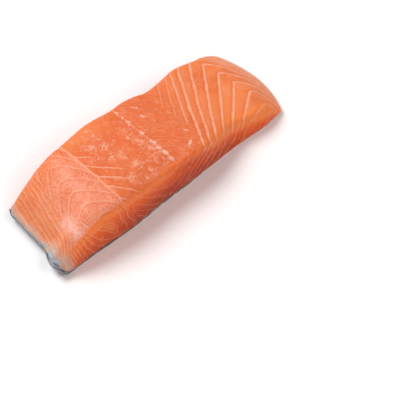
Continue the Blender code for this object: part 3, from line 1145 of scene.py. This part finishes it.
def ruffle_skin(piece):
    """Gives the skin's rims a slightly uneven hand-cut run, keeping it flat on the table."""
    points = points_mm(piece)
    x, y, z = points.T
    sway = 0.22 * lumps(np.stack([x, y * 0.2, z * 0.2], axis=1), 4.0, 8)
    points[:, 1] += sway * np.sign(y) * ease(np.abs(y), 18.0, 24.0)
    sway = 0.25 * lumps(np.stack([y, x * 0.1, z * 0.1], axis=1), 3.0, 9)
    points[:, 0] += sway * ease(-x, 66.0, 76.0)
    set_points_mm(piece, points)


def mark_skin(piece):
    """Stores how dark the back is, the loose corner, the dark rim at its top and the near edge."""
    points = points_mm(piece)
    x, y, z = points.T
    shift = plan_shift()
    plan_y = y - shift[1]
    corner = bell(plan_y, *CORNER_AT) * (1.0 - ease(x, -74.0, -66.0))
    store(piece, "back_share", 1.0 - ease(x, -58.0, 12.0))
    store(piece, "lobe", corner)
    top = SHEET_T + wrap_height(plan_y)
    at_end = 1.0 - ease(x - shift[0] - back_end(plan_y), 0.5, 2.5)
    rim = at_end * ease(z, top - 1.3, top - 0.2)
    store(piece, "rim_dark", rim * (1.0 - 0.75 * bell(plan_y, -18.0, 13.0)))
    near_side = 1.0 - ease(plan_y - near_edge(x - shift[0]), 0.1, 0.8)
    store(piece, "near_rim", near_side * ease(x, -72.0, -64.0))
    store(piece, "edge_dark", 1.0 - ease(x, 0.0, 16.0))


class FILLET_OT_skin(bpy.types.Operator):
    """Lay the scaled skin under the flesh and round its back"""

    bl_idname = "fillet.skin"
    bl_label = "Skin"

    def execute(self, context):
        settings = context.scene.fillet_skin
        piece = skin_grid(settings)
        base = len(piece.data.vertices)
        mesh = bpy.ops.mesh
        in_edit(piece, lambda: mesh.select_all(action="SELECT"), mesh.flip_normals)
        sheet = {"thickness": settings.thickness, "offset": -1.0, "use_even_offset": True}
        apply_modifier(piece, "Thickness", "SOLIDIFY", **sheet)
        points = points_mm(piece)
        if points[base:, 2].mean() < points[:base, 2].mean():
            raise RuntimeError("the skin was thickened downwards")
        store(piece, "inward", np.arange(len(points)) >= base)
        ruffle_skin(piece)
        mark_skin(piece)
        pick(piece)
        bpy.ops.object.shade_smooth_by_angle(angle=math.radians(50.0))
        piece.data.materials.append(skin_material(settings))
        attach(piece, "root")
        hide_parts("skin")
        return {"FINISHED"}


# ---------- the stage

# The soft lights: name, place, width, power and colour.
LIGHTS = (
    ("window", (-0.5, 1.45, 2.25), 1.6, 63.5, (1.0, 1.0, 1.0)),
    ("fill", (-1.2, -1.4, 1.4), 1.8, 7.5, (1.0, 0.84, 0.8)),
    ("front", (0.75, -1.45, 2.1), 1.4, 22.0, (1.0, 0.81, 0.76)),
)


def add_area_light(name, place, size, power, colour):
    """A round light that faces the middle of the table."""
    bpy.ops.object.light_add(type="AREA", location=place)
    light = bpy.context.active_object
    light.name = name
    light.data.shape = "DISK"
    light.data.size = size
    light.data.energy = power
    light.data.color = colour
    light.rotation_euler = Vector(place).to_track_quat("Z", "Y").to_euler()


class FILLET_OT_stage(bpy.types.Operator):
    """Set the pale table, the soft lights and the camera"""

    bl_idname = "fillet.stage"
    bl_label = "Table, lights and camera"

    def execute(self, context):
        settings = context.scene.fillet_stage
        bpy.ops.mesh.primitive_plane_add(size=6.0, location=(0.0, 0.0, 0.0))
        table = context.active_object
        table.name = "table"
        table.data.materials.append(floor_material(settings))

        world = bpy.data.worlds.new("soft daylight")
        context.scene.world = world
        world.use_nodes = True
        sky = world.node_tree.nodes["Background"].inputs
        sky["Color"].default_value = (1.0, 1.0, 1.0, 1.0)
        sky["Strength"].default_value = settings.daylight
        for light in LIGHTS:
            add_area_light(*light)

        a = math.radians(settings.azimuth)
        e = math.radians(settings.elevation)
        back = Vector((math.sin(a) * math.cos(e), -math.cos(a) * math.cos(e), math.sin(e)))
        bpy.ops.object.camera_add(location=Vector(settings.aim) + back * settings.distance)
        camera = context.active_object
        camera.name = "camera"
        camera.rotation_euler = back.to_track_quat("Z", "Y").to_euler()
        camera.data.lens = settings.lens
        camera.data.sensor_width = 36.0
        camera.data.clip_start = 0.01
        camera.data.clip_end = 20.0
        context.scene.camera = camera
        context.scene.view_settings.view_transform = "Standard"
        return {"FINISHED"}


class FILLET_PT_panel(bpy.types.Panel):
    """The fillet's steps, in order"""

    bl_idname = "FILLET_PT_panel"
    bl_label = "Salmon Fillet"
    bl_space_type = "VIEW_3D"
    bl_region_type = "UI"
    bl_category = "Fillet"

    def draw(self, context):
        for name in ("fillet_flesh", "fillet_skin", "fillet_stage"):
            settings = getattr(context.scene, name)
            box = self.layout.box()
            for key in settings.bl_rna.properties.keys():
                if key not in ("rna_type", "name"):
                    box.prop(settings, key)
        for step in (FILLET_OT_flesh, FILLET_OT_skin, FILLET_OT_stage):
            self.layout.operator(step.bl_idname)


CLASSES = (
    FleshSettings,
    SkinSettings,
    StageSettings,
    FILLET_OT_flesh,
    FILLET_OT_skin,
    FILLET_OT_stage,
    FILLET_PT_panel,
)


def register():
    for cls in CLASSES:
        bpy.utils.register_class(cls)
    bpy.types.Scene.fillet_flesh = PointerProperty(type=FleshSettings)
    bpy.types.Scene.fillet_skin = PointerProperty(type=SkinSettings)
    bpy.types.Scene.fillet_stage = PointerProperty(type=StageSettings)


def unregister():
    del bpy.types.Scene.fillet_stage
    del bpy.types.Scene.fillet_skin
    del bpy.types.Scene.fillet_flesh
    for cls in reversed(CLASSES):
        bpy.utils.unregister_class(cls)


def main():
    register()
    bpy.ops.fillet.flesh()
    bpy.ops.fillet.skin()
    bpy.ops.fillet.stage()


if __name__ == "__main__":
    main()
